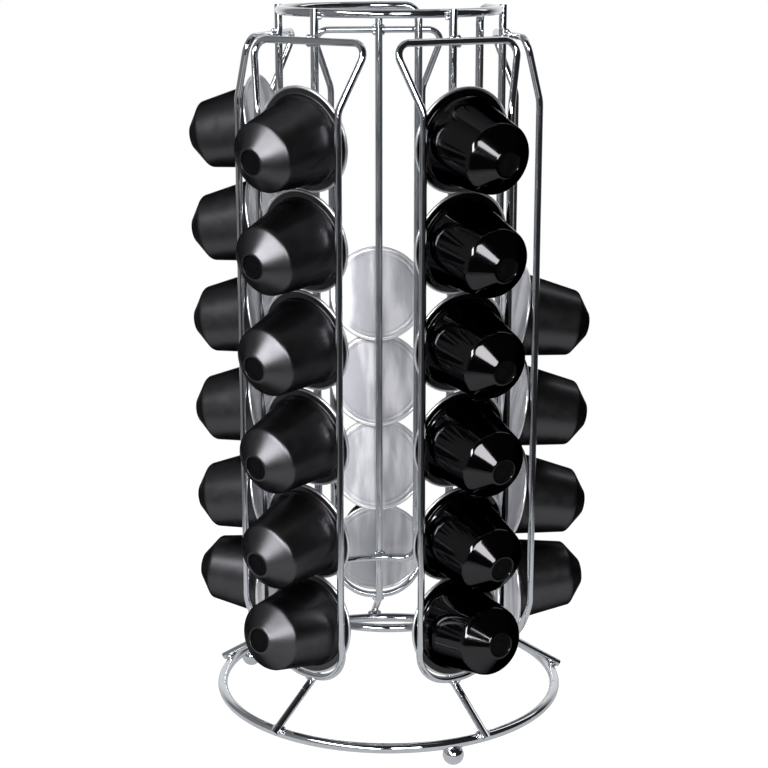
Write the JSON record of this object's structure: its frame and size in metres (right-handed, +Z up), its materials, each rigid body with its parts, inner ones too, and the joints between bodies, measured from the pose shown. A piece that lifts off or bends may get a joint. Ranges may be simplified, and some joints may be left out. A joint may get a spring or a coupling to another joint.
{
  "type": "coffee capsule holder",
  "caption": "Free-standing chrome wire tower with flared upright tracks round an open middle, holding coffee capsules that lift out at the top.",
  "frame": {"origin": "on the table, on the axis of the rings", "axes": "+Z up; -Y towards the front track, opposite the opening between the two legs; +X to the right"},
  "size_m": [0.1418, 0.1417, 0.259],
  "materials": {
    "chrome_wire": "bright chrome plating on welded steel wire",
    "capsule_lacquer": "black lacquered aluminium with a bare silver rim and foil lid"
  },
  "bodies": {
    "rack": {"core_frame": "chrome_wire", "base_ring": "chrome_wire", "foot_1": "chrome_wire", "foot_2": "chrome_wire", "foot_3": "chrome_wire", "upright_front": "chrome_wire", "guide_front": "chrome_wire", "upright_right": "chrome_wire", "guide_right": "chrome_wire", "upright_left": "chrome_wire", "guide_left": "chrome_wire", "upright_back_right": "chrome_wire", "guide_back_right": "chrome_wire", "upright_back_left": "chrome_wire", "guide_back_left": "chrome_wire"},
    "capsule_front_1": {"capsule_front_1": "capsule_lacquer"},
    "capsule_front_2": {"capsule_front_2": "capsule_lacquer"},
    "capsule_front_3": {"capsule_front_3": "capsule_lacquer"},
    "capsule_front_4": {"capsule_front_4": "capsule_lacquer"},
    "capsule_front_5": {"capsule_front_5": "capsule_lacquer"},
    "capsule_front_6": {"capsule_front_6": "capsule_lacquer"},
    "capsule_right_1": {"capsule_right_1": "capsule_lacquer"},
    "capsule_right_2": {"capsule_right_2": "capsule_lacquer"},
    "capsule_right_3": {"capsule_right_3": "capsule_lacquer"},
    "capsule_right_4": {"capsule_right_4": "capsule_lacquer"},
    "capsule_right_5": {"capsule_right_5": "capsule_lacquer"},
    "capsule_right_6": {"capsule_right_6": "capsule_lacquer"},
    "capsule_left_1": {"capsule_left_1": "capsule_lacquer"},
    "capsule_left_2": {"capsule_left_2": "capsule_lacquer"},
    "capsule_left_3": {"capsule_left_3": "capsule_lacquer"},
    "capsule_left_4": {"capsule_left_4": "capsule_lacquer"},
    "capsule_left_5": {"capsule_left_5": "capsule_lacquer"},
    "capsule_left_6": {"capsule_left_6": "capsule_lacquer"},
    "capsule_back_right_1": {"capsule_back_right_1": "capsule_lacquer"},
    "capsule_back_right_2": {"capsule_back_right_2": "capsule_lacquer"},
    "capsule_back_right_3": {"capsule_back_right_3": "capsule_lacquer"},
    "capsule_back_right_4": {"capsule_back_right_4": "capsule_lacquer"},
    "capsule_back_left_1": {"capsule_back_left_1": "capsule_lacquer"},
    "capsule_back_left_2": {"capsule_back_left_2": "capsule_lacquer"},
    "capsule_back_left_3": {"capsule_back_left_3": "capsule_lacquer"},
    "capsule_back_left_4": {"capsule_back_left_4": "capsule_lacquer"}
  },
  "joints": [
    {"name": "lift_front_1", "type": "slide", "parent": "rack", "child": "capsule_front_1", "axis": [0, 0, 1], "range_m": [0, 0.0019]},
    {"name": "lift_front_2", "type": "slide", "parent": "capsule_front_1", "child": "capsule_front_2", "axis": [0, 0, 1], "range_m": [0, 0.0019]},
    {"name": "lift_front_3", "type": "slide", "parent": "capsule_front_2", "child": "capsule_front_3", "axis": [0, 0, 1], "range_m": [0, 0.0019]},
    {"name": "lift_front_4", "type": "slide", "parent": "capsule_front_3", "child": "capsule_front_4", "axis": [0, 0, 1], "range_m": [0, 0.0019]},
    {"name": "lift_front_5", "type": "slide", "parent": "capsule_front_4", "child": "capsule_front_5", "axis": [0, 0, 1], "range_m": [0, 0.0019]},
    {"name": "lift_front_6", "type": "slide", "parent": "capsule_front_5", "child": "capsule_front_6", "axis": [0, 0, 1], "range_m": [0, 0.0226]},
    {"name": "lift_right_1", "type": "slide", "parent": "rack", "child": "capsule_right_1", "axis": [0, 0, 1], "range_m": [0, 0.0019]},
    {"name": "lift_right_2", "type": "slide", "parent": "capsule_right_1", "child": "capsule_right_2", "axis": [0, 0, 1], "range_m": [0, 0.0019]},
    {"name": "lift_right_3", "type": "slide", "parent": "capsule_right_2", "child": "capsule_right_3", "axis": [0, 0, 1], "range_m": [0, 0.0019]},
    {"name": "lift_right_4", "type": "slide", "parent": "capsule_right_3", "child": "capsule_right_4", "axis": [0, 0, 1], "range_m": [0, 0.0019]},
    {"name": "lift_right_5", "type": "slide", "parent": "capsule_right_4", "child": "capsule_right_5", "axis": [0, 0, 1], "range_m": [0, 0.0019]},
    {"name": "lift_right_6", "type": "slide", "parent": "capsule_right_5", "child": "capsule_right_6", "axis": [0, 0, 1], "range_m": [0, 0.0226]},
    {"name": "lift_left_1", "type": "slide", "parent": "rack", "child": "capsule_left_1", "axis": [0, 0, 1], "range_m": [0, 0.0019]},
    {"name": "lift_left_2", "type": "slide", "parent": "capsule_left_1", "child": "capsule_left_2", "axis": [0, 0, 1], "range_m": [0, 0.0019]},
    {"name": "lift_left_3", "type": "slide", "parent": "capsule_left_2", "child": "capsule_left_3", "axis": [0, 0, 1], "range_m": [0, 0.0019]},
    {"name": "lift_left_4", "type": "slide", "parent": "capsule_left_3", "child": "capsule_left_4", "axis": [0, 0, 1], "range_m": [0, 0.0019]},
    {"name": "lift_left_5", "type": "slide", "parent": "capsule_left_4", "child": "capsule_left_5", "axis": [0, 0, 1], "range_m": [0, 0.0019]},
    {"name": "lift_left_6", "type": "slide", "parent": "capsule_left_5", "child": "capsule_left_6", "axis": [0, 0, 1], "range_m": [0, 0.0226]},
    {"name": "lift_back_right_1", "type": "slide", "parent": "rack", "child": "capsule_back_right_1", "axis": [0, 0, 1], "range_m": [0, 0.0101]},
    {"name": "lift_back_right_2", "type": "slide", "parent": "capsule_back_right_1", "child": "capsule_back_right_2", "axis": [0, 0, 1], "range_m": [0, 0.0101]},
    {"name": "lift_back_right_3", "type": "slide", "parent": "capsule_back_right_2", "child": "capsule_back_right_3", "axis": [0, 0, 1], "range_m": [0, 0.0101]},
    {"name": "lift_back_right_4", "type": "slide", "parent": "capsule_back_right_3", "child": "capsule_back_right_4", "axis": [0, 0, 1], "range_m": [0, 0.0707]},
    {"name": "lift_back_left_1", "type": "slide", "parent": "rack", "child": "capsule_back_left_1", "axis": [0, 0, 1], "range_m": [0, 0.0101]},
    {"name": "lift_back_left_2", "type": "slide", "parent": "capsule_back_left_1", "child": "capsule_back_left_2", "axis": [0, 0, 1], "range_m": [0, 0.0101]},
    {"name": "lift_back_left_3", "type": "slide", "parent": "capsule_back_left_2", "child": "capsule_back_left_3", "axis": [0, 0, 1], "range_m": [0, 0.0101]},
    {"name": "lift_back_left_4", "type": "slide", "parent": "capsule_back_left_3", "child": "capsule_back_left_4", "axis": [0, 0, 1], "range_m": [0, 0.0707]}
  ]
}
